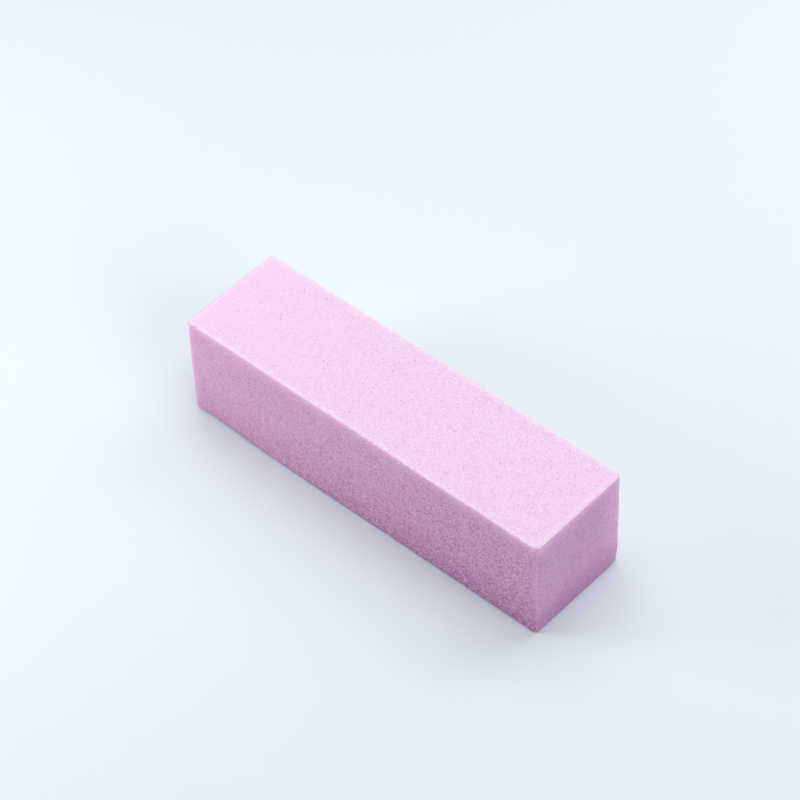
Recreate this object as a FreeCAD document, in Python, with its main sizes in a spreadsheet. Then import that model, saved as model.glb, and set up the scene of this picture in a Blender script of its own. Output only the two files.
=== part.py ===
import FreeCAD, Part
import math
import os

import Sketcher

# A four-way nail buffer block: a square bar of soft closed-cell foam, cut square at
# both ends, whose four long faces each carry a bond coat and an abrasive grit coat.
# Millimetres, +X along the bar, -Y to the front, +Z up. The origin is on the
# surface that the block stands on, under the middle of the bar.

SHEET_ROWS = [
    ("block_length", 100.0, "overall, from cut end to cut end"),
    ("block_width", 27.5, "front to rear, over the coats"),
    ("block_height", 27.5, "bottom to top, over the coats"),
    ("edge_radius", 0.8, "outer radius of the four long edges, over the coats"),
    ("end_radius", 0.3, "softened edge of each cut end"),
    ("bond_thickness", 0.1, "resin coat that holds the grit on the foam"),
    ("grit_thickness", 0.2, "grains and the colour coat over them"),
    ("coat_roll", 42.0, "degrees that a coat rolls round each long edge"),
]

# Each coated face: its name, the turn about +X that brings the top face to it, the
# size of the block across the face, and the size of the block through the face.
FACES = [
    ("top", 0.0, "block_width", "block_height"),
    ("front", 90.0, "block_height", "block_width"),
    ("bottom", 180.0, "block_width", "block_height"),
    ("rear", 270.0, "block_height", "block_width"),
]

# Each layer of a coat: its name, and how deep its outer and inner faces lie.
COAT_DEPTH = "(Sizes.grit_thickness + Sizes.bond_thickness)"
LAYERS = [
    ("grit_coat", "0", "Sizes.grit_thickness"),
    ("bond_coat", "Sizes.grit_thickness", COAT_DEPTH),
]

# Sketcher's numbers for a point on a curve, and for the sketch's own origin and axes.
START, END, CENTRE = 1, 2, 3
ORIGIN = (-1, 1)
UPRIGHT_AXIS = -2

# The order of the curves round a coat's outline.
FLAT, RIGHT_OUTER, RIGHT_STOP, RIGHT_INNER = 0, 1, 2, 3
UNDERSIDE, LEFT_INNER, LEFT_STOP, LEFT_OUTER = 4, 5, 6, 7

# The rough size at which a coat's outline is drawn, before its dimensions move it.
DRAWN_FLAT, DRAWN_RISE = 10.0, 10.0
DRAWN_OUTER, DRAWN_INNER = 1.5, 1.2
DRAWN_STOP = math.pi / 4


def add_sheet(doc):
    """The driving dimensions, one row each: alias, number and meaning."""
    sheet = doc.addObject("Spreadsheet::Sheet", "Sizes")
    for row, (alias, number, meaning) in enumerate(SHEET_ROWS, start=1):
        sheet.set(f"A{row}", alias)
        sheet.set(f"B{row}", str(number))
        sheet.set(f"C{row}", meaning)
        sheet.setAlias(f"B{row}", alias)
    doc.recompute()
    return sheet


def add_body(doc, label, turn):
    """An empty body on the bar's axis, turned about it by so many degrees."""
    body = doc.addObject("PartDesign::Body", label)
    body.Label = label
    along = FreeCAD.Vector(1, 0, 0)
    body.Placement = FreeCAD.Placement(FreeCAD.Vector(), FreeCAD.Rotation(along, turn))
    body.setExpression("Placement.Base.z", "Sizes.block_height / 2")
    return body


def add_section(body, name):
    """A sketch on the body's own plane across the bar."""
    sketch = body.newObject("Sketcher::SketchObject", name)
    planes = [f for f in body.Origin.OriginFeatures if f.Role == "YZ_Plane"]
    sketch.AttachmentSupport = [(planes[0], "")]
    sketch.MapMode = "FlatFace"
    return sketch


def drive(sketch, name, kind, measured, drawn, expression):
    """Add a dimension at the size drawn, name it, and bind its value to the sheet."""
    index = sketch.addConstraint(Sketcher.Constraint(kind, *measured, drawn))
    sketch.renameConstraint(index, name)
    sketch.setExpression(f"Constraints.{name}", expression)


def pad_along(body, sketch, length):
    """Pad a section equally both ways along the bar."""
    pad = body.newObject("PartDesign::Pad", f"{body.Label}_pad")
    pad.Profile = sketch
    pad.SideType = "Symmetric"
    pad.setExpression("Length", length)
    sketch.Visibility = False
    return pad


def round_edges(body, base, name, edges, radius):
    """Fillet the named edges of the body's last feature."""
    fillet = body.newObject("PartDesign::Fillet", name)
    fillet.Base = (base, edges)
    fillet.setExpression("Radius", radius)
    return fillet


def lies_along(edge):
    """True for a straight edge that runs the length of the bar."""
    box = edge.BoundBox
    return box.XLength > box.YLength + box.ZLength


def add_core(doc):
    """The foam bar, with its long edges rounded and its cut ends softened."""
    body = add_body(doc, "foam_core", 0.0)
    sketch = add_section(body, "core_section")
    corners = [(-1, -1), (1, -1), (1, 1), (-1, 1)]
    points = [FreeCAD.Vector(y, z, 0) for y, z in corners]
    for side, point in enumerate(points):
        sketch.addGeometry(Part.LineSegment(point, points[(side + 1) % 4]), False)
    for side in range(4):
        joined = (side, END, (side + 1) % 4, START)
        sketch.addConstraint(Sketcher.Constraint("Coincident", *joined))
        level = "Horizontal" if side % 2 == 0 else "Vertical"
        sketch.addConstraint(Sketcher.Constraint(level, side))
    sketch.addConstraint(Sketcher.Constraint("Symmetric", 0, START, 2, START, *ORIGIN))
    for name, kind, side in (("width", "DistanceX", 0), ("height", "DistanceY", 1)):
        overall = f"Sizes.block_{name} - 2 * {COAT_DEPTH}"
        drive(sketch, name, kind, (side, START, side, END), 2.0, overall)
    pad = pad_along(body, sketch, "Sizes.block_length")
    doc.recompute()

    long_edges = [f"Edge{i}" for i, e in enumerate(pad.Shape.Edges, 1) if lies_along(e)]
    core_radius = f"Sizes.edge_radius - {COAT_DEPTH}"
    rounded = round_edges(body, pad, "long_edges", long_edges, core_radius)
    doc.recompute()

    cut_edges = [f"Edge{i}" for i, e in enumerate(rounded.Shape.Edges, 1) if not lies_along(e)]
    round_edges(body, rounded, "cut_end_edges", cut_edges, "Sizes.end_radius")
    doc.recompute()
    return body


def draw_coat(sketch):
    """The coat's outline, drawn roughly in place and joined up.

    It runs over the flat and round the right edge, back under the flat, and round
    the left edge. The driving dimensions come later and move it to its real size.
    """
    upright = math.pi / 2
    right = FreeCAD.Vector(DRAWN_FLAT, DRAWN_RISE, 0)
    left = FreeCAD.Vector(-DRAWN_FLAT, DRAWN_RISE, 0)
    level = FreeCAD.Vector(0, 0, 1)

    def arc(centre, radius, begin, finish):
        return Part.ArcOfCircle(Part.Circle(centre, level, radius), begin, finish)

    outer_right = arc(right, DRAWN_OUTER, DRAWN_STOP, upright)
    inner_right = arc(right, DRAWN_INNER, DRAWN_STOP, upright)
    outer_left = arc(left, DRAWN_OUTER, upright, math.pi - DRAWN_STOP)
    inner_left = arc(left, DRAWN_INNER, upright, math.pi - DRAWN_STOP)
    for piece in (
        Part.LineSegment(outer_left.StartPoint, outer_right.EndPoint),
        outer_right,
        Part.LineSegment(inner_right.StartPoint, outer_right.StartPoint),
        inner_right,
        Part.LineSegment(inner_right.EndPoint, inner_left.StartPoint),
        inner_left,
        Part.LineSegment(inner_left.EndPoint, outer_left.EndPoint),
        outer_left,
    ):
        sketch.addGeometry(piece, False)

    for kind, joined in (
        ("Tangent", (FLAT, END, RIGHT_OUTER, END)),
        ("Tangent", (RIGHT_INNER, END, UNDERSIDE, START)),
        ("Tangent", (UNDERSIDE, END, LEFT_INNER, START)),
        ("Tangent", (LEFT_OUTER, START, FLAT, START)),
        ("Coincident", (RIGHT_STOP, START, RIGHT_INNER, START)),
        ("Coincident", (RIGHT_STOP, END, RIGHT_OUTER, START)),
        ("Coincident", (LEFT_STOP, START, LEFT_INNER, END)),
        ("Coincident", (LEFT_STOP, END, LEFT_OUTER, END)),
        ("Coincident", (RIGHT_OUTER, CENTRE, RIGHT_INNER, CENTRE)),
        ("Coincident", (LEFT_OUTER, CENTRE, LEFT_INNER, CENTRE)),
        ("Horizontal", (FLAT,)),
        ("Horizontal", (UNDERSIDE,)),
        ("Symmetric", (LEFT_OUTER, CENTRE, RIGHT_OUTER, CENTRE, UPRIGHT_AXIS)),
        ("PointOnObject", (RIGHT_OUTER, CENTRE, RIGHT_STOP)),
        ("PointOnObject", (LEFT_OUTER, CENTRE, LEFT_STOP)),
    ):
        sketch.addConstraint(Sketcher.Constraint(kind, *joined))


def add_coat(doc, label, turn, across, through, outer_depth, inner_depth):
    """One coat: a thin flat skin whose two long edges roll round the bar's edges.

    The section is drawn as for the top face. The coat stops short of the middle of
    each rounded edge, where a thin line of foam stays bare between two coats.
    """
    body = add_body(doc, label, turn)
    sketch = add_section(body, f"{label}_section")
    draw_coat(sketch)
    from_origin = (*ORIGIN, RIGHT_OUTER, CENTRE)
    edge_radius = "Sizes.edge_radius"
    half_across = f"Sizes.{across} / 2 - {edge_radius}"
    half_through = f"Sizes.{through} / 2 - {edge_radius}"
    outer_radius = f"{edge_radius} - {outer_depth}"
    inner_radius = f"{edge_radius} - {inner_depth}"
    right_stop = "(90 - Sizes.coat_roll) * 1 deg"
    left_stop = "(90 + Sizes.coat_roll) * 1 deg"
    for name, kind, measured, drawn, expression in (
        ("flat_half", "DistanceX", from_origin, DRAWN_FLAT, half_across),
        ("centre_rise", "DistanceY", from_origin, DRAWN_RISE, half_through),
        ("outer_radius", "Radius", (RIGHT_OUTER,), DRAWN_OUTER, outer_radius),
        ("inner_radius", "Radius", (RIGHT_INNER,), DRAWN_INNER, inner_radius),
        ("right_stop", "Angle", (RIGHT_STOP,), DRAWN_STOP, right_stop),
        ("left_stop", "Angle", (LEFT_STOP,), math.pi - DRAWN_STOP, left_stop),
    ):
        drive(sketch, name, kind, measured, drawn, expression)
    pad_along(body, sketch, "Sizes.block_length - 2 * Sizes.end_radius")
    doc.recompute()
    return body


def check(doc, sub_parts):
    """Stop if any object failed, or a sub-part isn't one valid closed solid."""
    for item in doc.Objects:
        if "Invalid" in item.State or "Error" in item.State:
            raise RuntimeError(f"{item.Label} failed: {item.State}")
    for body in sub_parts:
        shape = body.Shape
        if shape.isNull() or not shape.isValid() or len(shape.Solids) != 1:
            raise RuntimeError(f"{body.Label} isn't one valid solid")
    for sketch in doc.findObjects("Sketcher::SketchObject"):
        if sketch.solve() != 0 or not sketch.FullyConstrained:
            raise RuntimeError(f"{sketch.Label} isn't fully constrained")


def main():
    doc = FreeCAD.newDocument("nail_buffer_block")
    add_sheet(doc)
    sub_parts = [add_core(doc)]
    for face, turn, across, through in FACES:
        for layer, outer_depth, inner_depth in LAYERS:
            label = f"{face}_{layer}"
            coat = add_coat(doc, label, turn, across, through, outer_depth, inner_depth)
            sub_parts.append(coat)
    doc.recompute()
    check(doc, sub_parts)
    os.makedirs("parts", exist_ok=True)
    for body in sub_parts:
        body.Shape.exportStep(f"parts/{body.Label}.step")
        box = body.Shape.optimalBoundingBox()
        sizes = (box.XLength, box.YLength, box.ZLength)
        print(body.Label, [round(size, 3) for size in sizes], round(body.Shape.Volume, 2))


main()
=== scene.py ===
import logging
import math
import random
from collections.abc import Callable, Iterator
from contextlib import contextmanager
from dataclasses import dataclass, field
from enum import Enum

import bpy
from bpy.types import Material, Node, NodeSocket, Object, Texture, VertexGroup
from mathutils import Matrix, Vector


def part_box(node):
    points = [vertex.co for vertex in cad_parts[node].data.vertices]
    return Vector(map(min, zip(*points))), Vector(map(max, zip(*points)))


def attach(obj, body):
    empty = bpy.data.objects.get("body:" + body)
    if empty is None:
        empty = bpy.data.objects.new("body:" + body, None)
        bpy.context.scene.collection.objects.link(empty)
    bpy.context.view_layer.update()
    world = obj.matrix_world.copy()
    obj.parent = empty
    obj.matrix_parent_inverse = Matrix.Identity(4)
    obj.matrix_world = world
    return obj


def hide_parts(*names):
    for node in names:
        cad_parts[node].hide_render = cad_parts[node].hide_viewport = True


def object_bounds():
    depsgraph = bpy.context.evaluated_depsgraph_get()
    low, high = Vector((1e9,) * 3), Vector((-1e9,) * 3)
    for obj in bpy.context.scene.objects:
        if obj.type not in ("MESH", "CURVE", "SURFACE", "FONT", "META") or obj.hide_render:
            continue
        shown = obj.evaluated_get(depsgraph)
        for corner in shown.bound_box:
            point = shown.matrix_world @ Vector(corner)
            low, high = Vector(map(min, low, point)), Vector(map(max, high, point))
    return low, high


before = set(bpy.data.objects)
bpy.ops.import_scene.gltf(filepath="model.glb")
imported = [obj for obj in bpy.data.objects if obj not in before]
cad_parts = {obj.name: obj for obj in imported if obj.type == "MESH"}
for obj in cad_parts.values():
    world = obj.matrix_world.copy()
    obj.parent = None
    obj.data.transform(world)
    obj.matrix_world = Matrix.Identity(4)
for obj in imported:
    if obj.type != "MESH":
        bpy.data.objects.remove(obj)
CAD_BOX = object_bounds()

# A four-way nail buffer block: a bar of soft pink foam with a bond coat and a grit
# coat on each of its four long faces, and bare foam at its two cut ends. Metres.

log = logging.getLogger("nail_buffer_block")

MM = 0.001
BODY = "root"
STUD_SLOPE = 0.045 * MM  # how far a grain's or a pit's sides slope in
CLOSE = 0.01 * MM
SAME = 0.0001 * MM
GRAIN = "grain"  # the mark at a mesh's points: 1 on a raised grain, -1 in a pit
X_AXIS, Y_AXIS, Z_AXIS = range(3)

# The sockets that a colour Mix node works with
MIX_SHARE, MIX_FIRST, MIX_SECOND, MIX_RESULT = 0, 6, 7, 2

Rgba = tuple[float, float, float, float]
Colour = NodeSocket | Rgba


class Face(Enum):
    """The four coated faces, each with the turn about +X that brings the top face to it."""

    TOP = 0
    FRONT = 90
    BOTTOM = 180
    REAR = 270

    @property
    def word(self) -> str:
        """The face's name as the nodes spell it."""
        return self.name.lower()

    @property
    def turn(self) -> Matrix:
        """The face's turn about the bar."""
        return Matrix.Rotation(math.radians(self.value), 4, "X")


# ---------------------------------------------------------------- shader maths


class Value:
    """A float socket whose arithmetic adds Math nodes."""

    def __init__(self, shader: "Shader", socket: NodeSocket) -> None:
        """Wrap one output socket of the shader's tree."""
        self.shader = shader
        self.socket = socket

    def maths(self, operation: str, first: "Value | float", second: "Value | float") -> "Value":
        """Add one Math node.

        Args:
            operation: the Math node's operation.
            first: its first input.
            second: its second input.

        Returns:
            The node's result.
        """
        return self.shader.value("ShaderNodeMath", {"operation": operation}, {0: first, 1: second})

    def __add__(self, other: "Value | float") -> "Value":
        """self + other."""
        return self.maths("ADD", self, other)

    def __radd__(self, other: float) -> "Value":
        """other + self."""
        return self.maths("ADD", other, self)

    def __sub__(self, other: "Value | float") -> "Value":
        """self - other."""
        return self.maths("SUBTRACT", self, other)

    def __rsub__(self, other: float) -> "Value":
        """other - self."""
        return self.maths("SUBTRACT", other, self)

    def __mul__(self, other: "Value | float") -> "Value":
        """self * other."""
        return self.maths("MULTIPLY", self, other)

    def __rmul__(self, other: float) -> "Value":
        """other * self."""
        return self.maths("MULTIPLY", other, self)

    def __pow__(self, other: float) -> "Value":
        """self ** other."""
        return self.maths("POWER", self, other)

    def __abs__(self) -> "Value":
        """The size of self without its sign."""
        return self.maths("ABSOLUTE", self, 0.0)

    def least(self, other: "Value | float") -> "Value":
        """The smaller of self and other."""
        return self.maths("MINIMUM", self, other)

    def most(self, other: "Value | float") -> "Value":
        """The larger of self and other."""
        return self.maths("MAXIMUM", self, other)

    def ease(self, low: float, high: float) -> "Value":
        """A smooth rise, flat outside its two ends.

        Args:
            low: where the result is 0.
            high: where the result is 1, which may be below low.

        Returns:
            The eased value.
        """
        if low > high:
            return 1.0 - self.ease(high, low)
        settings = {"interpolation_type": "SMOOTHSTEP"}
        return self.shader.value("ShaderNodeMapRange", settings, {0: self, 1: low, 2: high})


class Shader:
    """One material's tree, with a Principled surface and object coordinates in metres."""

    def __init__(self, name: str) -> None:
        """Make the material, empty but for its output and its surface.

        Args:
            name: the material's name.
        """
        self.material: Material = bpy.data.materials.new(name)
        self.material.use_nodes = True
        self.tree = self.material.node_tree
        self.tree.nodes.clear()
        self.surface = self.node("ShaderNodeBsdfPrincipled", {}, {})
        self.node("ShaderNodeOutputMaterial", {}, {"Surface": self.surface.outputs[0]})
        self.place = self.node("ShaderNodeTexCoord", {}, {}).outputs["Object"]

    def node(self, kind: str, settings: dict, inputs: dict) -> Node:
        """Add one node.

        Args:
            kind: the node's type.
            settings: attribute names and values, which are set first.
            inputs: socket names or numbers, each with a number, a Value or a socket.

        Returns:
            The new node.
        """
        made = self.tree.nodes.new(kind)
        for name, setting in settings.items():
            setattr(made, name, setting)
        for name, given in inputs.items():
            if isinstance(given, Value):
                given = given.socket
            if isinstance(given, NodeSocket):
                self.tree.links.new(given, made.inputs[name])
            else:
                made.inputs[name].default_value = given
        return made

    def value(self, kind: str, settings: dict, inputs: dict, output: str | int = 0) -> Value:
        """Add one node and wrap one of its outputs, whose name or number is given."""
        return Value(self, self.node(kind, settings, inputs).outputs[output])

    def noise(self, size: float, detail: float = 2.0) -> Value:
        """Soft noise.

        Args:
            size: how far across a blotch is, in metres.
            detail: how many finer layers the noise has.

        Returns:
            The noise, from 0 to 1.
        """
        inputs = {"Vector": self.place, "Scale": 1.0 / size, "Detail": detail}
        return self.value("ShaderNodeTexNoise", {}, inputs)

    def cells(self, size: float) -> tuple[Value, Value]:
        """Scattered cells.

        Args:
            size: the cells' spacing in metres.

        Returns:
            The distance from each cell's centre, in cells, and a chance number that is
            the same all over one cell.
        """
        inputs = {"Vector": self.place, "Scale": 1.0 / size, "Randomness": 1.0}
        grown = self.node("ShaderNodeTexVoronoi", {}, inputs)
        inputs = {"Color": grown.outputs["Color"]}
        chance = self.value("ShaderNodeSeparateColor", {}, inputs)
        return Value(self, grown.outputs["Distance"]), chance

    def axes(self) -> tuple[Value, Value, Value]:
        """The place on the piece along X, Y and Z, in metres."""
        split = self.node("ShaderNodeSeparateXYZ", {}, {"Vector": self.place})
        return tuple(Value(self, output) for output in split.outputs)

    def trait(self, name: str) -> Value:
        """A number that the mesh carries at its points."""
        settings = {"attribute_name": name, "attribute_type": "GEOMETRY"}
        return self.value("ShaderNodeAttribute", settings, {}, "Fac")

    def blend(self, share: Value, first: Colour, second: Colour) -> NodeSocket:
        """Mix two colours.

        Args:
            share: how much of the second colour there is, from 0 to 1.
            first: the colour at a share of 0.
            second: the colour at a share of 1.

        Returns:
            The mixed colour.
        """
        inputs = {MIX_SHARE: share, MIX_FIRST: first, MIX_SECOND: second}
        return self.node("ShaderNodeMix", {"data_type": "RGBA"}, inputs).outputs[MIX_RESULT]

    def bump(self, rise: Value, height: float) -> NodeSocket:
        """A surface normal from a height field.

        Args:
            rise: the height field, from 0 to about 1.
            height: how many metres a rise of 1 stands for.

        Returns:
            The normal.
        """
        inputs = {"Height": rise, "Distance": height, "Strength": 1.0}
        return self.node("ShaderNodeBump", {}, inputs).outputs[0]

    def finish(self, inputs: dict) -> Material:
        """Set the surface's sockets.

        Args:
            inputs: the Principled sockets' names, each with a number, a Value or a socket.

        Returns:
            The finished material.
        """
        for name, given in inputs.items():
            socket = self.surface.inputs[name]
            if isinstance(given, Value):
                given = given.socket
            if isinstance(given, NodeSocket):
                self.tree.links.new(given, socket)
            else:
                socket.default_value = given
        return self.material


def linear(level: int) -> float:
    """One display level of 0 to 255 as the linear number that a shader takes."""
    part = level / 255
    return part / 12.92 if part <= 0.04045 else ((part + 0.055) / 1.055) ** 2.4


def paint(red: int, green: int, blue: int) -> Rgba:
    """A display colour of 0 to 255 as the linear numbers that a shader takes."""
    return (linear(red), linear(green), linear(blue), 1.0)


BLACK = paint(0, 0, 0)
WHITE = paint(255, 255, 255)


# ---------------------------------------------------------------------- finishes


def fade(distance: Value, reach: float) -> Value:
    """A soft fall from 1 at no distance to 0 at the reach, in metres."""
    return (1.0 - distance * (1 / reach)).most(0.0) ** 2.0


@dataclass(frozen=True)
class GritFinish:
    """Abrasive grains in a pink colour coat.

    The coat is painted paler and warmer towards the top and near the left end, and more
    faintly near the right end, a painted glow for light that soaks through the foam, with
    a faint painted emission there. It carries a painted highlight along its upper edges,
    its left end is painted lighter, and it has painted shade towards the bottom and a
    painted contact shadow along the bottom edges. Shares run from 0 to 1.
    """

    name: str
    pits: int
    body: Rgba
    gap: Rgba
    crown: Rgba
    speck: Rgba
    # The colour and share of the painted glow
    edge: Rgba
    glow_share: float
    # The colour and share of the painted shade towards the bottom
    bottom_shade: Rgba
    bottom_shade_share: float
    # How much lighter the left end is painted, a painted light
    left_light_share: float
    # The share and reach of the painted highlight along the upper edges
    edge_highlight_share: float
    edge_highlight_reach: float
    # The strength of the painted glow emission
    glow_emission: float
    mottle: float
    crown_share: float
    gap_share: float
    crisp_after: float
    worn_top: float
    worn_end: float = 0.6
    worn_reach: float = 12.0 * MM
    spark: Rgba = paint(255, 244, 252)
    # The painted contact shadow's colour, share and reach, then the reaches of the painted glow
    # emission, the painted glow and the painted shade
    contact_shadow: Rgba = paint(96, 56, 92)
    contact_shadow_share: float = 0.95
    contact_shadow_reach: float = 1.0 * MM
    glow_emission_reach: float = 2.4 * MM
    glow_reach: float = 5.0 * MM
    bottom_shade_reach: float = 19.0 * MM
    chip_reach: float = 1.2 * MM
    grain_size: float = 0.20 * MM
    fine_size: float = 0.12 * MM
    spot_spacing: float = 0.55 * MM
    relief: float = 0.05 * MM

    def make(self, bar: "Bar") -> Material:
        """Build the material.

        Args:
            bar: the sizes of the coated bar.

        Returns:
            The finished material.
        """
        shader = Shader(self.name)
        x, y, z = shader.axes()
        reach, chance = shader.cells(self.grain_size)
        fine_reach, fine_chance = shader.cells(self.fine_size)
        tone = self.coat(shader, bar, x, y, z)

        # Grains and the gaps between them, crisper to the right and worn near the edges
        crisp = x.ease(bar.low.x, bar.low.x + self.crisp_after)
        worn = fade(bar.high.z - z, self.worn_reach) * self.worn_top
        worn = worn.most(fade(bar.half.x - abs(x), self.worn_reach / 2) * self.worn_end)
        mottle = (0.45 + 0.55 * crisp) * (1.0 - worn) * self.mottle
        light = (chance - 0.5).most(0.0) * fine_chance * mottle * 4.0
        dark = (0.5 - chance).most(0.0) * reach.ease(0.1, 0.5) * mottle * 2.0
        tone = shader.blend(light, tone, self.crown)
        tone = shader.blend(dark, tone, self.gap)
        tone = self.spots(shader, tone)

        rise = (1.0 - reach).most(0.0) * (0.4 + 0.6 * chance) + fine_chance * 0.4
        rise = rise + (1.0 - fine_reach).most(0.0) * 0.3
        # Painted glow: a faint emission near the upper edges and the left end, standing in for light
        # that soaks through the foam
        above = self.from_upper_edge(bar, x, y, z)
        emitted_glow = fade(above.least(x - bar.low.x), self.glow_emission_reach) * self.glow_emission
        return shader.finish({
            "Base Color": tone,
            "Roughness": 0.7 + 0.2 * chance,
            "Specular IOR Level": 0.3,
            "Emission Color": shader.blend(emitted_glow, BLACK, self.edge),
            "Emission Strength": 1.0,
            "Normal": shader.bump(rise, self.relief),
        })

    def from_side_edge(self, bar: "Bar", x: Value, y: Value) -> Value:
        """The distance in from the bar's nearest side or cut end."""
        return (bar.half.y - abs(y)).least(bar.half.x - abs(x))

    def from_upper_edge(self, bar: "Bar", x: Value, y: Value, z: Value) -> Value:
        """The distance from the bar's nearest upper edge, over either face of it."""
        return (bar.high.z - z).most(self.from_side_edge(bar, x, y))

    def coat(self, shader: Shader, bar: "Bar", x: Value, y: Value, z: Value) -> NodeSocket:
        """Mix the colour coat under the grains, by where it lies on the bar, with painted
        glow, a painted highlight, a lighter painted left end, painted shade and a painted
        contact shadow.

        Args:
            shader: the material's tree.
            bar: the sizes of the coated bar.
            x: the place along the bar.
            y: the place across it.
            z: the height.

        Returns:
            The coat's colour.
        """
        cloud = shader.noise(6 * MM)
        blotch = shader.noise(1.3 * MM, 3.0)
        flake = shader.noise(0.9 * MM, 3.0).ease(0.50, 0.56)
        along = x.ease(bar.low.x, bar.high.x)

        # Painted glow: paler, warmer colour towards the top and near the left end, fainter near the
        # right end, standing in for light that soaks through the foam
        glow = fade(bar.high.z - z, self.glow_reach).most(fade(x - bar.low.x, self.glow_reach))
        glow = glow.most(fade(bar.high.x - x, self.glow_reach / 2) * 0.5)
        glow = (glow * (1.2 + 0.4 * blotch)).least(1.0) * self.glow_share
        # Painted shade: darker towards the bottom, stronger towards the right end
        bottom_shade = fade(z - bar.low.z, self.bottom_shade_reach) * (0.3 + 0.7 * along) * self.bottom_shade_share
        # Painted highlight along the upper edges
        rim = fade(self.from_upper_edge(bar, x, y, z), self.edge_highlight_reach) * self.edge_highlight_share
        # Painted contact shadow along the bottom edges
        contact_shadow = (z - bar.low.z).most(self.from_side_edge(bar, x, y))
        contact_shadow = fade(contact_shadow, self.contact_shadow_reach) * self.contact_shadow_share
        chip = fade(bar.half.x - abs(x), self.chip_reach) * flake * z.ease(bar.high.z, bar.low.z)

        # Painted light: the left end is painted lighter, fading towards the right end
        tone = shader.blend((1.0 - along) * self.left_light_share, self.body, self.crown)
        tone = shader.blend(cloud.ease(0.3, 0.7) * 0.12, tone, self.crown)
        tone = shader.blend(blotch.ease(0.45, 0.75) * 0.14, tone, self.gap)
        tone = shader.blend(glow, tone, self.edge)
        tone = shader.blend(bottom_shade, tone, self.bottom_shade)
        tone = shader.blend(contact_shadow, tone, self.contact_shadow)
        return shader.blend(rim.most(chip), tone, self.crown)

    def spots(self, shader: Shader, tone: NodeSocket) -> NodeSocket:
        """Scatter bright and dark specks, and colour the raised grains and the pits.

        Args:
            shader: the material's tree.
            tone: the colour so far.

        Returns:
            The colour with its spots.
        """
        reach, chance = shader.cells(self.spot_spacing)
        grain = shader.trait(GRAIN)
        spot = reach.ease(0.34, 0.20)
        spark = spot * chance.ease(0.94, 0.95) * self.crown_share
        speck = spot * chance.ease(0.035, 0.025) * self.gap_share
        tone = shader.blend(spark, tone, self.spark)
        tone = shader.blend(speck, tone, self.speck)
        tone = shader.blend(grain.most(0.0) * self.crown_share, tone, self.crown)
        return shader.blend((grain * -1.0).most(0.0) * self.gap_share, tone, self.gap)


@dataclass(frozen=True)
class FoamFinish:
    """Bare closed-cell foam, cut clean: fine cells with a few darker pores.

    Near the upper and rear edges it is painted paler and warmer, a painted glow for
    light that soaks in, with a faint painted emission; towards the bottom it is
    painted darker, a painted shade.
    """

    name: str = "cut_foam"
    body: Rgba = paint(223, 173, 213)
    pore: Rgba = paint(150, 92, 148)
    # The colour and share of the painted glow
    edge: Rgba = paint(255, 204, 240)
    glow_share: float = 0.8
    # The colour and share of the painted shade towards the bottom
    bottom_shade: Rgba = paint(188, 124, 180)
    bottom_shade_share: float = 0.5
    cell: float = 0.3 * MM
    relief: float = 0.03 * MM
    # The reach of the painted glow, and the strength and reach of its painted emission
    glow_reach: float = 5.0 * MM
    glow_emission: float = 0.07
    glow_emission_reach: float = 3.0 * MM

    def make(self, bar: "Bar") -> Material:
        """Build the material.

        Args:
            bar: the sizes of the coated bar.

        Returns:
            The finished material.
        """
        shader = Shader(self.name)
        _, y, z = shader.axes()
        reach, chance = shader.cells(self.cell)
        cloud = shader.noise(4 * MM)
        wall = reach.ease(0.35, 0.75)
        pore = (shader.trait(GRAIN) * -1.0).most(0.0)
        # Painted glow: paler, warmer colour near the top and the rear edge, standing in for light
        # that soaks in
        glow = fade(bar.high.z - z, self.glow_reach)
        glow = glow.most(fade(bar.high.y - y, 2 * self.glow_reach))
        # Painted shade: darker towards the bottom
        bottom_shade = z.ease(bar.low.z + 10 * MM, bar.low.z + 1 * MM)
        tone = shader.blend(cloud.ease(0.3, 0.8) * 0.10, self.body, self.pore)
        tone = shader.blend(glow * self.glow_share, tone, self.edge)
        tone = shader.blend(bottom_shade * self.bottom_shade_share, tone, self.bottom_shade)
        tone = shader.blend(wall * chance * 0.45, tone, self.pore)
        tone = shader.blend(pore * 0.6, tone, self.pore)
        # Painted glow: a faint emission near the upper and rear edges
        lit = (bar.high.z - z).least(bar.high.y - y)
        emitted_glow = fade(lit, self.glow_emission_reach) * self.glow_emission
        return shader.finish({
            "Base Color": tone,
            "Roughness": 0.78 + 0.12 * chance,
            "Specular IOR Level": 0.3,
            "Emission Color": shader.blend(emitted_glow, BLACK, self.edge),
            "Emission Strength": 1.0,
            "Normal": shader.bump(wall * 0.5 + chance * 0.4, self.relief),
        })


@dataclass(frozen=True)
class ResinFinish:
    """The dried resin that holds the grains: a deeper pink film, slightly glossy."""

    name: str = "dried_resin"
    body: Rgba = paint(206, 140, 190)
    streak: Rgba = paint(178, 104, 160)
    relief: float = 0.02 * MM

    def make(self) -> Material:
        """Build the material.

        Returns:
            The finished material.
        """
        shader = Shader(self.name)
        drawn = shader.noise(1.2 * MM, 5.0)
        tone = shader.blend(drawn.ease(0.3, 0.7), self.body, self.streak)
        return shader.finish({
            "Base Color": tone,
            "Roughness": 0.35 + 0.3 * drawn,
            "Normal": shader.bump(drawn, self.relief),
        })


@dataclass(frozen=True)
class FloorFinish:
    """The pale sheet that the block stands on."""

    name: str = "pale_floor"
    body: Rgba = paint(230, 242, 248)
    fibre: Rgba = paint(205, 216, 224)
    fibre_share: float = 0.03

    def make(self) -> Material:
        """Build the material.

        Returns:
            The finished material.
        """
        shader = Shader(self.name)
        drawn = shader.noise(0.4 * MM, 3.0)
        return shader.finish({
            "Base Color": shader.blend(drawn * self.fibre_share, self.body, self.fibre),
            "Roughness": 0.9,
            "Specular IOR Level": 0.2,
        })


# --------------------------------------------------------------- working by hand


def drop_selection() -> None:
    """Deselect every object."""
    bpy.ops.object.select_all(action="DESELECT")


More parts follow.
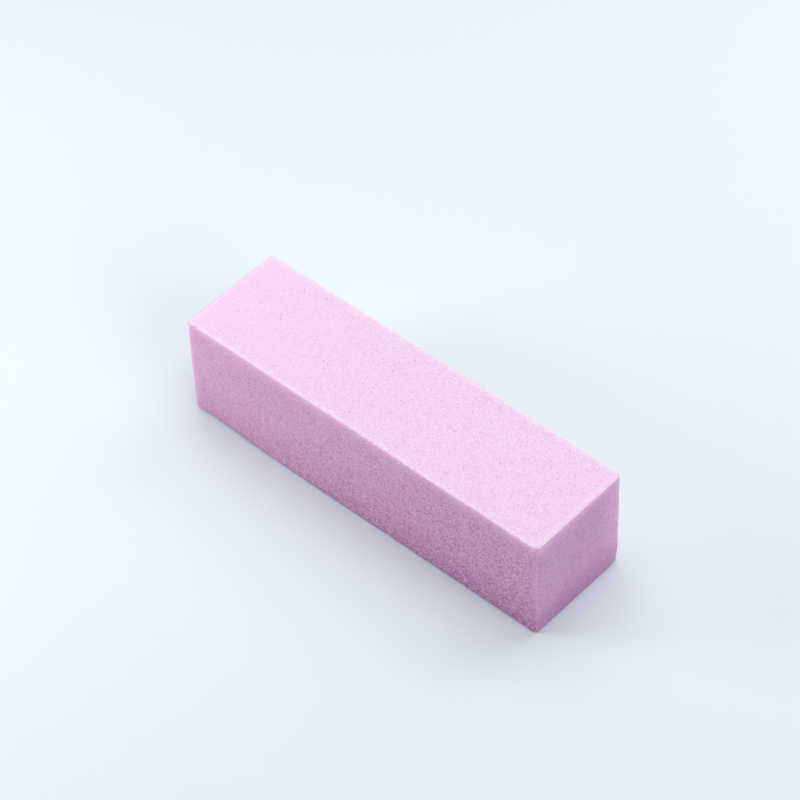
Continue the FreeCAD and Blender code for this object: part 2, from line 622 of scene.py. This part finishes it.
def take(piece: Object) -> None:
    """Select one object alone and make it the active one.

    Args:
        piece: the object.
    """
    drop_selection()
    piece.select_set(True)
    bpy.context.view_layer.objects.active = piece


@contextmanager
def editing(piece: Object, kind: str = "EDGE") -> Iterator[None]:
    """Edit mode on one piece, keeping what the code has selected on it.

    Args:
        piece: a mesh object.
        kind: which parts are worked on: VERT, EDGE or FACE.
    """
    take(piece)
    bpy.ops.object.mode_set(mode="EDIT")
    bpy.ops.mesh.select_mode(type=kind)
    yield
    bpy.ops.object.mode_set(mode="OBJECT")


def select_edges(piece: Object, wanted: Callable[[Vector, Vector], bool]) -> None:
    """Select the edges whose two ends pass the test, and nothing else.

    Args:
        piece: a mesh object in object mode.
        wanted: takes an edge's two ends.
    """
    mesh = piece.data
    for part in (mesh.vertices, mesh.edges, mesh.polygons):
        part.foreach_set("select", [False] * len(part))
    for edge in mesh.edges:
        first, second = (mesh.vertices[i].co for i in edge.vertices)
        edge.select = wanted(first, second)


def runs_along(axis: int) -> Callable[[Vector, Vector], bool]:
    """A test for edges that run along one axis.

    Args:
        axis: the axis's number.

    Returns:
        A test that takes an edge's two ends.
    """
    def test(first: Vector, second: Vector) -> bool:
        """Tell whether one edge runs along the axis."""
        away = [abs(part) for part in second - first]
        return away.pop(axis) > CLOSE and max(away) < SAME
    return test


def apply_all(piece: Object) -> None:
    """Apply every modifier on a piece, in order.

    Args:
        piece: a mesh object in object mode.
    """
    take(piece)
    for modifier in list(piece.modifiers):
        bpy.ops.object.modifier_apply(modifier=modifier.name)


def modify(piece: Object, kind: str, **settings: object) -> None:
    """Add a modifier, set it and apply it.

    Args:
        piece: a mesh object in object mode.
        kind: the modifier's type.
        settings: its settings, by name.
    """
    modifier = piece.modifiers.new(kind.lower(), kind)
    for name, setting in settings.items():
        setattr(modifier, name, setting)
    apply_all(piece)


def settle(piece: Object, name: str) -> Object:
    """Put a piece's place into its mesh and name it.

    Args:
        piece: a mesh object in object mode.
        name: its new name.

    Returns:
        The same piece.
    """
    take(piece)
    bpy.ops.object.transform_apply(location=True, rotation=True, scale=True)
    piece.name = name
    piece.data.name = name
    return piece


def pattern(name: str, kind: str, size: float, **settings: object) -> Texture:
    """A procedural height pattern for the Displace modifier.

    Args:
        name: the pattern's name.
        kind: the texture's type.
        size: the size of its blotches, in metres.
        settings: further settings of the texture.

    Returns:
        The texture.
    """
    made = bpy.data.textures.new(name, kind)
    made.noise_scale = size
    for key, setting in settings.items():
        setattr(made, key, setting)
    return made


def mark_all(group: VertexGroup, piece: Object, wanted: Callable[[Vector], bool]) -> None:
    """Put the vertices that pass the test into a group.

    Args:
        group: one of the piece's vertex groups.
        piece: a mesh object in object mode.
        wanted: takes a vertex's place.
    """
    chosen = [vertex.index for vertex in piece.data.vertices if wanted(vertex.co)]
    group.add(chosen, 1.0, "REPLACE")


def stud(piece: Object, faces: list[int], height: float) -> None:
    """Raise or sink small faces as flat-topped grains or pits, and mark them.

    Args:
        piece: a mesh in object mode.
        faces: the faces to move, none of them next to the rim.
        height: how far they move, which is negative for pits.
    """
    mesh = piece.data
    select_edges(piece, lambda first, second: False)
    for index in faces:
        mesh.polygons[index].select = True
    old = len(mesh.vertices)
    with editing(piece, "FACE"):
        bpy.ops.mesh.inset(thickness=STUD_SLOPE, depth=height, use_individual=True)
    marks = mesh.attributes.get(GRAIN) or mesh.attributes.new(GRAIN, "FLOAT", "POINT")
    for index in range(old, len(mesh.vertices)):
        marks.data[index].value = math.copysign(1.0, height)


# ---------------------------------------------------------------- sub-assemblies


@dataclass
class Bar:
    """The whole bar's sizes, read from the frame."""

    low: Vector = field(default_factory=lambda: CAD_BOX[0])
    high: Vector = field(default_factory=lambda: CAD_BOX[1])
    slack: float = 0.1 * MM

    @property
    def middle(self) -> Vector:
        """The centre of the bar."""
        return (self.low + self.high) / 2

    @property
    def half(self) -> Vector:
        """Half the bar's length, width and height."""
        return (self.high - self.low) / 2

    @property
    def grit_depth(self) -> float:
        """How thick a grit coat is."""
        return self.high.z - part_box("top_bond_coat")[1].z

    @property
    def coat_depth(self) -> float:
        """How thick a bond coat and its grit coat are together."""
        return self.high.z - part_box("foam_core")[1].z


@dataclass(frozen=True)
class Pinch:
    """A spot where the bar's edge was pushed in a little when it was cut."""

    place: Vector
    move: Vector
    radius: float


@dataclass
class HandCut:
    """The small ways in which a bar cut by hand isn't true.

    Every piece is bent by the same slow waver and the same pinches, by where it lies,
    so layers that touch stay together.
    """

    bar: Bar
    waver: float = 0.10 * MM
    wavelength: float = 26 * MM
    slow: Texture = field(init=False)
    pinches: list[Pinch] = field(init=False)

    def __post_init__(self) -> None:
        """Draw the waver, and place the pinches by the bar's corners.

        They are, in order: the lower left corner at the front, lifted and pushed in; the
        lower right corner at the rear; the upper right corner at the front, softly
        rounded; and a nick in the upper front edge near its left end.
        """
        low, high = self.bar.low, self.bar.high
        self.slow = pattern("slow_waver", "CLOUDS", self.wavelength, cloud_type="COLOR")
        self.pinches = [
            Pinch(Vector((low.x + 6 * MM, low.y, low.z)), Vector((0, 0.42, 0.35)) * MM, 17 * MM),
            Pinch(Vector((high.x, high.y, low.z + 1 * MM)), Vector((-0.25, -0.2, 0)) * MM, 4 * MM),
            Pinch(Vector((high.x, low.y, high.z)), Vector((-0.3, 0.3, -0.1)) * MM, 2.2 * MM),
            Pinch(Vector((low.x + 2.8 * MM, low.y, high.z)), Vector((0, 0.35, -0.3)) * MM, 1.3 * MM),
        ]

    def bend(self, piece: Object) -> None:
        """Bend one piece by the waver and the pinches.

        Args:
            piece: a mesh whose place is in its vertices.
        """
        modify(piece, "DISPLACE", texture=self.slow, texture_coords="LOCAL",
               direction="RGB_TO_XYZ", strength=2 * self.waver, mid_level=0.5)
        for pinch in self.pinches:
            marks = []
            for place in (pinch.place, pinch.place + pinch.move):
                drop_selection()
                bpy.ops.object.empty_add(location=place)
                marks.append(bpy.context.object)
            modify(piece, "WARP", object_from=marks[0], object_to=marks[1],
                   falloff_type="SMOOTH", falloff_radius=pinch.radius)
            for mark in marks:
                bpy.data.objects.remove(mark)


@dataclass(frozen=True)
class Rounding:
    """How far each kind of edge is rounded: the long ones, and those round a cut end."""

    long_edge: float
    end_level: float
    end_upright: float


@dataclass
class Former:
    """The bar's true rounded shape at one depth below its surface: skins are laid on it."""

    bar: Bar
    depth: float
    rounding: Rounding
    steps: int = 10

    def make(self) -> Object:
        """Make the former: a cube whose edges are rounded by their kind.

        Returns:
            The former, which is removed once the skins are laid on it.
        """
        bar, rounding = self.bar, self.rounding
        inset = self.depth + bar.slack
        half = bar.half - Vector((bar.slack, inset, inset))
        drop_selection()
        bpy.ops.mesh.primitive_cube_add(size=2.0, location=bar.middle, scale=half)
        former = settle(bpy.context.object, "former")
        radii = (rounding.long_edge, rounding.end_level, rounding.end_upright)
        for axis, radius in enumerate(radii):
            select_edges(former, runs_along(axis))
            with editing(former):
                bpy.ops.transform.edge_bevelweight(value=radius / max(radii))
        modify(former, "BEVEL", width=max(radii), segments=self.steps, limit_method="WEIGHT")
        return former


# The core's edges are split twice along each axis, more finely over the cut ends
SPLITS = (
    (X_AXIS, 8), (X_AXIS, 6),
    (Y_AXIS, 9), (Y_AXIS, 10),
    (Z_AXIS, 9), (Z_AXIS, 10),
)


@dataclass
class FoamBar:
    """The foam core: a bar with fine open pores on its two cut ends."""

    bar: Bar
    former: Object
    cut: HandCut
    finish: FoamFinish
    pores: int = 150
    pore_depth: float = 0.10 * MM
    seed: int = 5

    def make(self) -> Object:
        """Build and dress the core.

        Returns:
            The finished piece.
        """
        drop_selection()
        low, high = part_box("foam_core")
        middle = (low + high) / 2
        half = (high - low) / 2
        bpy.ops.mesh.primitive_cube_add(size=2.0, location=middle, scale=half)
        core = settle(bpy.context.object, "foam_bar")
        for axis, cuts in SPLITS:
            self.split(core, axis, cuts)
        modify(core, "SHRINKWRAP", target=self.former, wrap_method="NEAREST_SURFACEPOINT")
        self.roughen(core)
        ends = [face.index for face in core.data.polygons if abs(face.normal.x) > 0.9]
        stud(core, random.Random(self.seed).sample(ends, self.pores), -self.pore_depth)
        self.cut.bend(core)
        take(core)
        bpy.ops.object.shade_smooth_by_angle(angle=math.radians(50))
        core.data.materials.append(self.finish.make(self.bar))
        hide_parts("foam_core")
        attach(core, BODY)
        return core

    def split(self, core: Object, axis: int, cuts: int) -> None:
        """Split every edge along one axis into equal parts.

        Args:
            core: the core.
            axis: 0, 1 or 2.
            cuts: how many cuts each edge gets.
        """
        select_edges(core, runs_along(axis))
        with editing(core):
            bpy.ops.mesh.subdivide(number_cuts=cuts)

    def roughen(self, core: Object) -> None:
        """Roughen the two cut ends with cells and the waves that the saw left.

        Args:
            core: the core.
        """
        ends = core.vertex_groups.new(name="cut_ends")
        limit = self.bar.half.x - 0.35 * MM
        mark_all(ends, core, lambda place: abs(place.x) > limit)
        for name, kind, size, height in (
            ("foam_cells", "VORONOI", 0.55 * MM, 0.05 * MM),
            ("saw_waves", "CLOUDS", 3.5 * MM, 0.10 * MM),
        ):
            shape = pattern(name, kind, size)
            modify(core, "DISPLACE", texture=shape, texture_coords="LOCAL",
                   vertex_group="cut_ends", strength=height, mid_level=1.0)


@dataclass
class Coat:
    """One layer on one face: a skin laid on a former, rolled round its edges.

    The overhang is how far the skin runs past the bar's cut ends before it is laid
    down, so that it folds over the rounded ends, and is negative where it stops short.
    """

    bar: Bar
    face: Face
    former: Object
    cut: HandCut
    layer: str
    slot: str
    material: Material
    depth: float
    thickness: float
    pitch: float
    overhang: float
    feather: float = 0.8 * MM
    feather_left: float = 0.15
    lap: float = 0.02 * MM
    fringe: float = 0.16 * MM
    grains: int = 0
    grain_height: float = 0.05 * MM
    pits: int = 0
    pit_depth: float = 0.06 * MM

    @property
    def node(self) -> str:
        """The frame's node that this layer stands for."""
        return f"{self.face.word}_{self.layer}"

    def make(self) -> Object:
        """Build and dress the layer.

        Returns:
            The finished piece.
        """
        half = self.bar.half
        reach = half.x + self.overhang
        across = half.y - self.depth + self.lap
        out = self.face.turn @ Vector((0, 0, half.z - self.depth))
        drop_selection()
        bpy.ops.mesh.primitive_grid_add(
            x_subdivisions=round(2 * reach / self.pitch),
            y_subdivisions=round(2 * across / self.pitch),
            size=2.0,
            location=self.bar.middle + out,
            rotation=self.face.turn.to_euler(),
        )
        bpy.context.object.scale = (reach, across, 1.0)
        skin = settle(bpy.context.object, f"{self.node}_skin")
        outer = len(skin.data.polygons)
        if self.grains:
            self.fray(skin)
        modify(skin, "SHRINKWRAP", target=self.former, wrap_method="NEAREST_SURFACEPOINT")
        if self.grains:
            self.roughen(skin)
        self.thicken(skin)
        if self.grains:
            chance = random.Random(self.face.value)
            chosen = chance.sample(range(outer), self.grains + self.pits)
            stud(skin, chosen[:self.grains], self.grain_height)
            stud(skin, chosen[self.grains:], -self.pit_depth)
        self.cut.bend(skin)
        take(skin)
        bpy.ops.object.shade_smooth_by_angle(angle=math.radians(60))
        skin.data.materials.append(self.material)
        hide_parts(self.node)
        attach(skin, BODY)
        return skin

    def fray(self, skin: Object) -> None:
        """Move the skin's two short rims a little to and fro, so that it ends unevenly.

        Args:
            skin: the flat skin.
        """
        ends = skin.vertex_groups.new(name="ends")
        limit = max(vertex.co.x for vertex in skin.data.vertices) - CLOSE
        mark_all(ends, skin, lambda place: abs(place.x) > limit)
        torn = pattern(f"{self.node}_fray", "CLOUDS", 0.8 * MM)
        modify(skin, "DISPLACE", texture=torn, texture_coords="LOCAL", vertex_group="ends",
               direction="X", strength=self.fringe, mid_level=0.5)

    def roughen(self, skin: Object) -> None:
        """Sink broad swells, clumps and grains into the skin, so none stands above the former.

        Args:
            skin: the laid skin.
        """
        for name, kind, size, height in (
            ("swell", "CLOUDS", 7.0 * MM, 0.03 * MM),
            ("clump", "CLOUDS", 1.1 * MM, 0.025 * MM),
            ("grit", "VORONOI", 0.45 * MM, 0.03 * MM),
        ):
            shape = pattern(f"{self.node}_{name}", kind, size)
            modify(skin, "DISPLACE", texture=shape, texture_coords="LOCAL",
                   strength=height, mid_level=1.0)

    def thicken(self, skin: Object) -> None:
        """Give the skin its thickness, feathered out where it meets the cut ends.

        Args:
            skin: the laid skin.
        """
        body = skin.vertex_groups.new(name="body")
        limit = self.bar.half.x - self.bar.slack - self.feather
        stop = max(vertex.co.x for vertex in skin.data.vertices)
        for vertex in skin.data.vertices:
            past = max(0.0, (abs(vertex.co.x) - limit) / (stop - limit))
            body.add([vertex.index], max(0.0, 1.0 - past * past), "REPLACE")
        modify(skin, "SOLIDIFY", thickness=self.thickness, offset=-1.0,
               vertex_group="body", thickness_vertex_group=self.feather_left)


@dataclass(frozen=True)
class SoftBox:
    """One square lamp that faces the block: its place, its side and its power in watts."""

    name: str
    place: Vector
    size: float
    power: float

    def hang(self, target: Vector) -> None:
        """Hang the lamp.

        Args:
            target: the point that it faces.
        """
        drop_selection()
        bpy.ops.object.light_add(type="AREA", location=self.place)
        box = bpy.context.object
        box.name = self.name
        box.data.size = self.size
        box.data.energy = self.power
        box.rotation_euler = (target - self.place).to_track_quat("-Z", "Y").to_euler()


LAMPS = (
    SoftBox("overhead", Vector((-0.10, 0.18, 0.75)), 0.9, 4.785),
    SoftBox("back_left", Vector((-0.80, 0.45, 0.45)), 0.6, 0.872),
    SoftBox("left_near", Vector((-0.25, -0.20, 0.14)), 0.16, 0.442),
    SoftBox("rear_near", Vector((0.10, 0.35, 0.25)), 0.3, 0.339),
    SoftBox("right_high", Vector((0.70, -0.10, 0.50)), 0.6, 2.578),
)


@dataclass
class Studio:
    """The floor, the soft lights and the camera round the block. Angles are in degrees."""

    bar: Bar
    floor_size: float = 6.0
    sky_strength: float = 0.071
    azimuth: float = 43.37
    elevation: float = 47.38
    distance: float = 0.7722
    roll: float = -2.08
    lens: float = 159.97
    sensor: float = 36.0
    nearest: float = 10 * MM
    aim: Vector = field(default_factory=lambda: Vector((-0.00761, 0.00828, 0.014)))

    def make(self) -> None:
        """Set the whole studio up."""
        self.floor()
        self.sky()
        for lamp in LAMPS:
            lamp.hang(self.bar.middle)
        self.camera()

    def floor(self) -> None:
        """Lay the floor."""
        drop_selection()
        bpy.ops.mesh.primitive_plane_add(size=self.floor_size, location=(0, 0, self.bar.low.z))
        sheet = settle(bpy.context.object, "pale_floor")
        sheet.data.materials.append(FloorFinish().make())

    def sky(self) -> None:
        """Fill the room with a soft even light."""
        world = bpy.data.worlds.new("studio")
        bpy.context.scene.world = world
        world.use_nodes = True
        shade = world.node_tree.nodes["Background"]
        shade.inputs["Color"].default_value = WHITE
        shade.inputs["Strength"].default_value = self.sky_strength
        bpy.context.scene.view_settings.view_transform = "Standard"

    def camera(self) -> None:
        """Stand the camera at its place and turn it to the block."""
        turn, rise = math.radians(self.azimuth), math.radians(self.elevation)
        back = Vector((
            math.sin(turn) * math.cos(rise),
            -math.cos(turn) * math.cos(rise),
            math.sin(rise),
        ))
        drop_selection()
        bpy.ops.object.camera_add(location=self.aim + back * self.distance)
        viewer = bpy.context.object
        viewer.name = "viewer"
        level = (-back).to_track_quat("-Z", "Y").to_matrix().to_4x4()
        tilt = Matrix.Rotation(math.radians(self.roll), 4, "Z")
        viewer.rotation_euler = (level @ tilt).to_euler()
        viewer.data.lens = self.lens
        viewer.data.sensor_width = self.sensor
        viewer.data.clip_start = self.nearest
        bpy.context.scene.camera = viewer


# In each grit finish the glow colour and shares, the bottom shade, the left-end lightening, the
# upper-edge highlight and the emission are painted light and painted shade
FINE_GRIT = GritFinish(
    name="fine_grit",
    pits=90,
    body=paint(250, 210, 245),
    gap=paint(214, 150, 204),
    crown=paint(250, 236, 248),
    speck=paint(206, 130, 176),
    edge=paint(248, 222, 246),
    glow_share=0.3,
    bottom_shade=paint(222, 176, 216),
    bottom_shade_share=0.2,
    left_light_share=0.05,
    edge_highlight_share=0.7,
    edge_highlight_reach=2.2 * MM,
    glow_emission=0.06,
    mottle=0.48,
    crown_share=0.5,
    gap_share=0.9,
    crisp_after=50 * MM,
    worn_top=0.0,
)
MEDIUM_GRIT = GritFinish(
    name="medium_grit",
    pits=350,
    body=paint(241, 169, 215),
    gap=paint(184, 100, 164),
    crown=paint(247, 223, 242),
    speck=paint(150, 70, 130),
    edge=paint(255, 196, 236),
    glow_share=1.0,
    bottom_shade=paint(194, 108, 178),
    bottom_shade_share=1.0,
    left_light_share=0.24,
    edge_highlight_share=0.4,
    edge_highlight_reach=1.6 * MM,
    glow_emission=0.13,
    mottle=1.15,
    crown_share=1.0,
    gap_share=0.9,
    crisp_after=100 * MM,
    worn_top=0.6,
)

# The outer surface, the one between the two coats, and the foam's own
OUTER_ROUNDING = Rounding(0.45 * MM, 0.45 * MM, 1.0 * MM)
UNDER_ROUNDING = Rounding(0.25 * MM, 0.25 * MM, 0.8 * MM)
CORE_ROUNDING = Rounding(0.15 * MM, 0.06 * MM, 0.55 * MM)


def coat_face(bar: Bar, face: Face, outer: Object, under: Object, cut: HandCut,
              finish: GritFinish, grit: Material, resin: Material) -> list[Object]:
    """Build both coats of one face.

    Args:
        bar: the whole bar's sizes.
        face: the face.
        outer: the former of the outer surface.
        under: the former of the surface between the two coats.
        cut: how the bar is bent.
        finish: the finish of the grit coat.
        grit: the material of the grit coat.
        resin: the material of the bond coat.

    Returns:
        The grit coat and the bond coat.
    """
    return [
        Coat(
            bar, face, outer, cut, "grit_coat", "grit", grit,
            depth=0.0,
            thickness=bar.grit_depth,
            pitch=0.25 * MM,
            overhang=0.85 * MM,
            grains=1100,
            pits=finish.pits,
        ).make(),
        Coat(
            bar, face, under, cut, "bond_coat", "bond_resin", resin,
            depth=bar.grit_depth,
            thickness=bar.coat_depth - bar.grit_depth,
            pitch=0.5 * MM,
            overhang=-0.9 * MM,
        ).make(),
    ]


def main() -> None:
    """Build the block and its studio."""
    logging.basicConfig(level=logging.INFO, format="%(name)s: %(message)s")
    bar = Bar()
    cut = HandCut(bar)
    outer = Former(bar, 0.0, OUTER_ROUNDING).make()
    under = Former(bar, bar.grit_depth, UNDER_ROUNDING).make()
    core = Former(bar, bar.coat_depth, CORE_ROUNDING).make()
    grit = {finish: finish.make(bar) for finish in (FINE_GRIT, MEDIUM_GRIT)}
    resin = ResinFinish().make()
    made = [FoamBar(bar, core, cut, FoamFinish()).make()]
    for face in Face:
        finish = FINE_GRIT if face in (Face.TOP, Face.BOTTOM) else MEDIUM_GRIT
        made += coat_face(bar, face, outer, under, cut, finish, grit[finish], resin)
    for former in (outer, under, core):
        bpy.data.objects.remove(former)
    for piece in made:
        log.info("%s: %d faces", piece.name, len(piece.data.polygons))
    Studio(bar).make()


if __name__ == "__main__":
    main()
